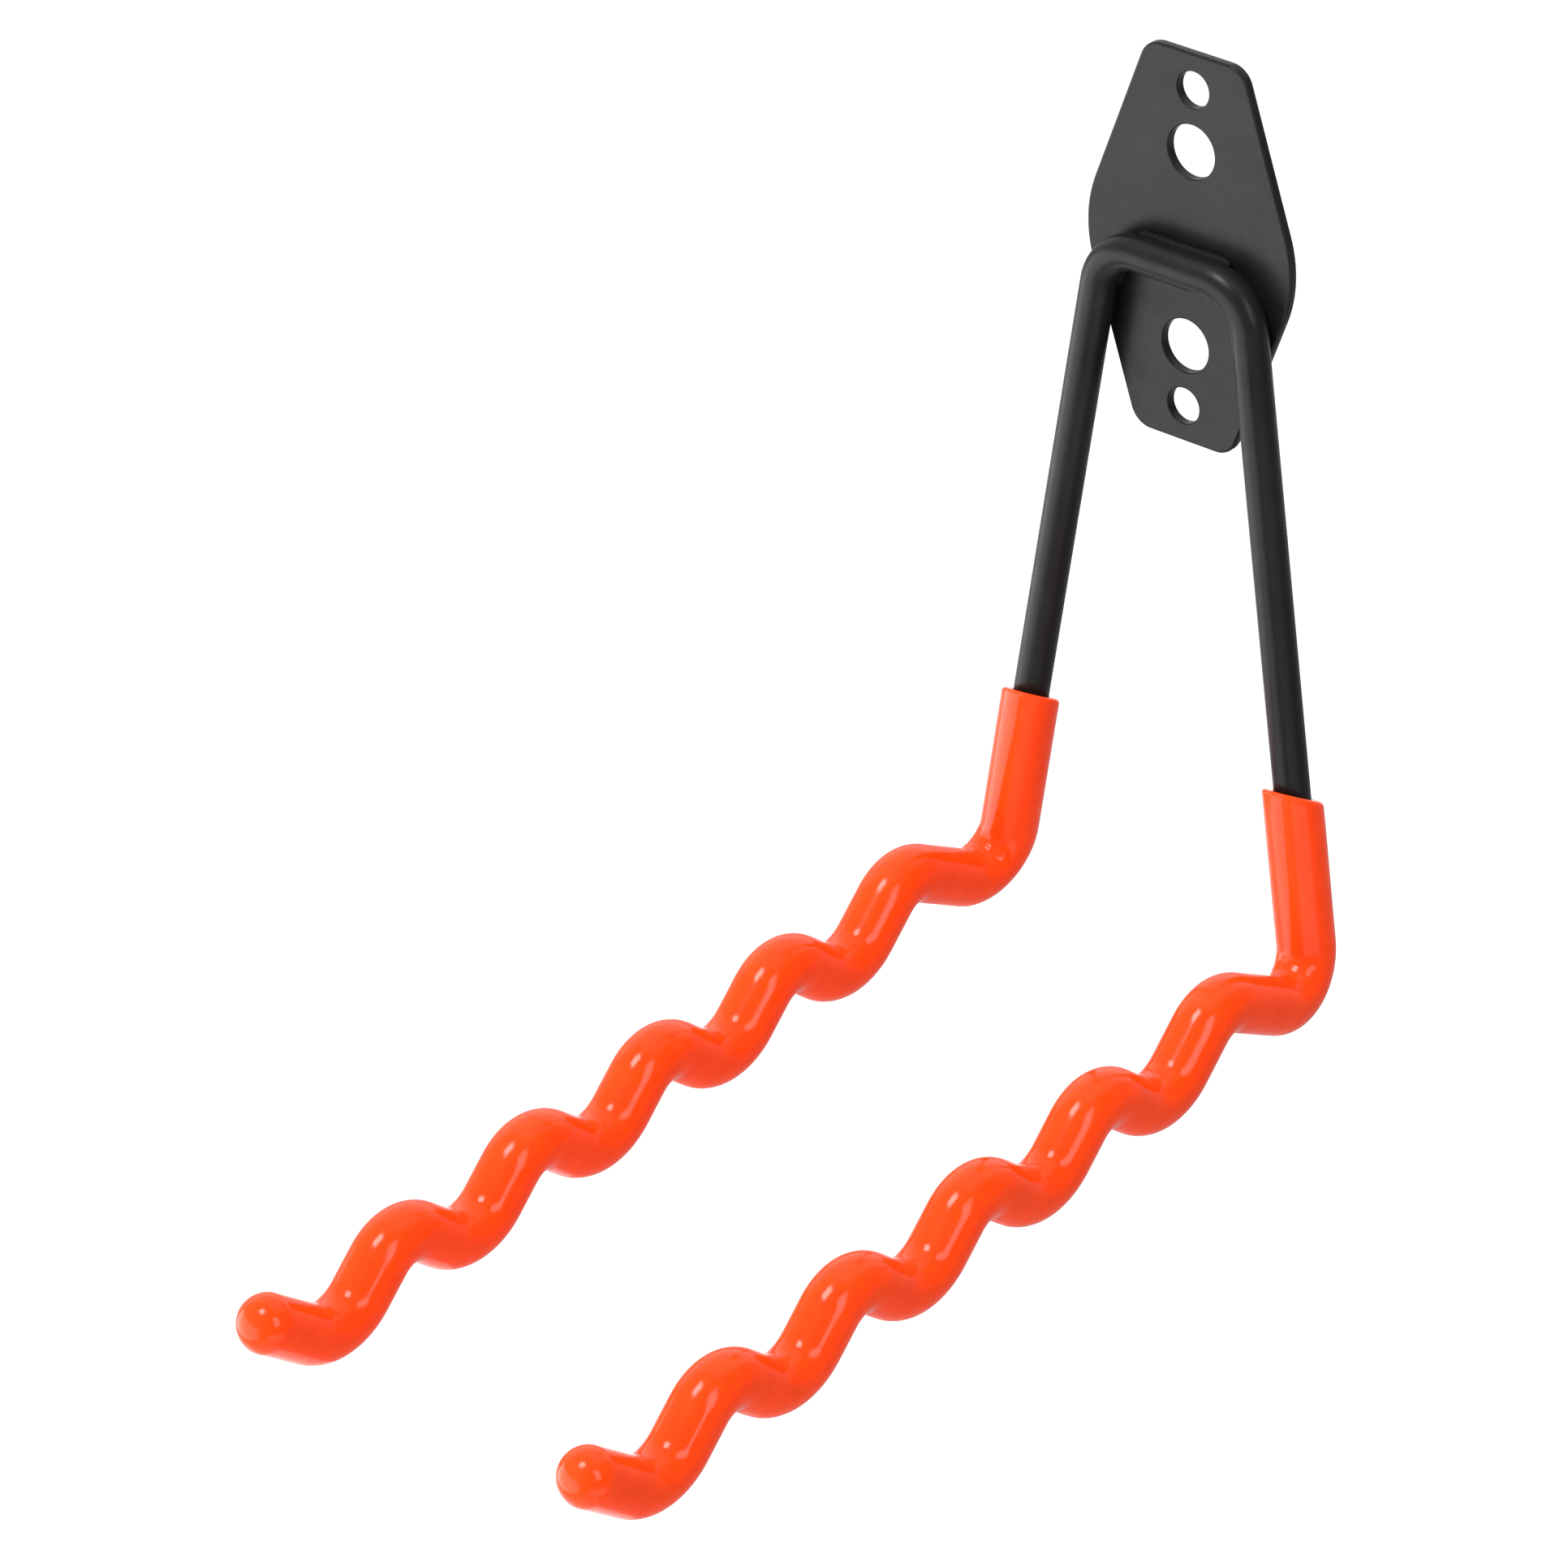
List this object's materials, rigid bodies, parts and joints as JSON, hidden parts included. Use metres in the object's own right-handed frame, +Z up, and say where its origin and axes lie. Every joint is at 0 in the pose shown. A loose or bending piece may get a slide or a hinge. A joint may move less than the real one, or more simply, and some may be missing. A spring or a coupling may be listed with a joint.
{
  "type": "bicycle wall rack",
  "caption": "Wall rack with two wavy, soft-sleeved arms on splayed legs: one bent steel rod welded across a punched steel backplate that screws to a wall.",
  "frame": {"origin": "centre of the backplate's rear face, on the wall", "axes": "+Y into the wall, +Z up, +X to the right along the wall for someone who faces it; the arms reach along -Y"},
  "size_m": [0.0994, 0.2513, 0.2277],
  "materials": {
    "black_powder_coat": "satin black powder coat on steel",
    "orange_sleeve": "glossy orange-red soft vinyl"
  },
  "bodies": {
    "root": {"backplate": "black_powder_coat", "bent_rod": "black_powder_coat", "upper_weld": "black_powder_coat", "lower_weld": "black_powder_coat", "left_sleeve": "orange_sleeve", "right_sleeve": "orange_sleeve"}
  },
  "joints": []
}
